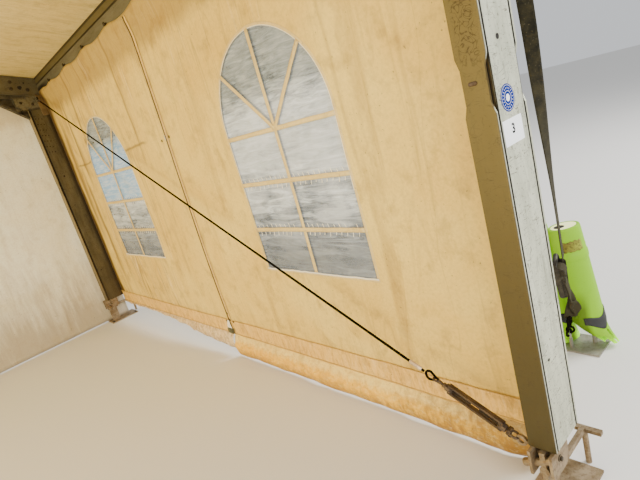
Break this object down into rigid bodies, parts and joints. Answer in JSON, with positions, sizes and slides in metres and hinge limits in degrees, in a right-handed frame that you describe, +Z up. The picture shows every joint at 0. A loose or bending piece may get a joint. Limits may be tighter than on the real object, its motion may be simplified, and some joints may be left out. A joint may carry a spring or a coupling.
{
  "type": "marquee tent bay",
  "caption": "Aluminium frame marquee bay with a pitched fabric roof, side walls with arched clear windows, an open front, a closed rear gable, wind braces and guy straps.",
  "frame": {"origin": "on the ground at the middle of the floor plan", "axes": "+Z up, X across the span with +X to the right of someone facing the closed gable, +Y towards the closed gable, and the open front faces -Y"},
  "size_m": [12.0966, 5.2, 4.0831],
  "materials": {
    "aluminium": "weathered mill finish",
    "steel": "dull galvanised, dirty",
    "tent_fabric": "coated fabric, stained",
    "window_film": "clear flexible film",
    "webbing": "woven strap",
    "bright_plastic": "bright moulded tube"
  },
  "bodies": {
    "root": {"front_right_leg": "aluminium", "front_left_leg": "aluminium", "rear_right_leg": "aluminium", "rear_left_leg": "aluminium", "front_right_rafter": "aluminium", "front_left_rafter": "aluminium", "rear_right_rafter": "aluminium", "rear_left_rafter": "aluminium", "front_right_eave_bracket": "steel", "front_left_eave_bracket": "steel", "rear_right_eave_bracket": "steel", "rear_left_eave_bracket": "steel", "front_right_foot": "steel", "front_left_foot": "steel", "rear_right_foot": "steel", "rear_left_foot": "steel", "front_ridge_bracket": "steel", "rear_ridge_bracket": "steel", "right_eave_purlin": "aluminium", "left_eave_purlin": "aluminium", "right_mid_purlin": "aluminium", "left_mid_purlin": "aluminium", "ridge_purlin": "aluminium", "roof_sheet": "tent_fabric", "front_right_wall_panel": "tent_fabric", "front_left_wall_panel": "tent_fabric", "rear_right_wall_panel": "tent_fabric", "rear_left_wall_panel": "tent_fabric", "front_right_window_film": "window_film", "front_left_window_film": "window_film", "rear_right_window_film": "window_film", "rear_left_window_film": "window_film", "rear_right_gable_panel": "tent_fabric", "rear_middle_gable_panel": "tent_fabric", "rear_left_gable_panel": "tent_fabric", "front_gable_panel": "tent_fabric", "rear_right_gable_post": "aluminium", "rear_left_gable_post": "aluminium", "right_brace_wire": "steel", "left_brace_wire": "steel", "right_turnbuckle": "steel", "left_turnbuckle": "steel", "front_right_guy_strap": "webbing", "front_left_guy_strap": "webbing", "rear_right_guy_strap": "webbing", "rear_left_guy_strap": "webbing", "front_right_ground_anchor": "steel", "front_left_ground_anchor": "steel", "rear_right_ground_anchor": "steel", "rear_left_ground_anchor": "steel", "front_right_stake_covers": "bright_plastic", "front_left_stake_covers": "bright_plastic", "rear_right_stake_covers": "bright_plastic", "rear_left_stake_covers": "bright_plastic"}
  },
  "joints": []
}
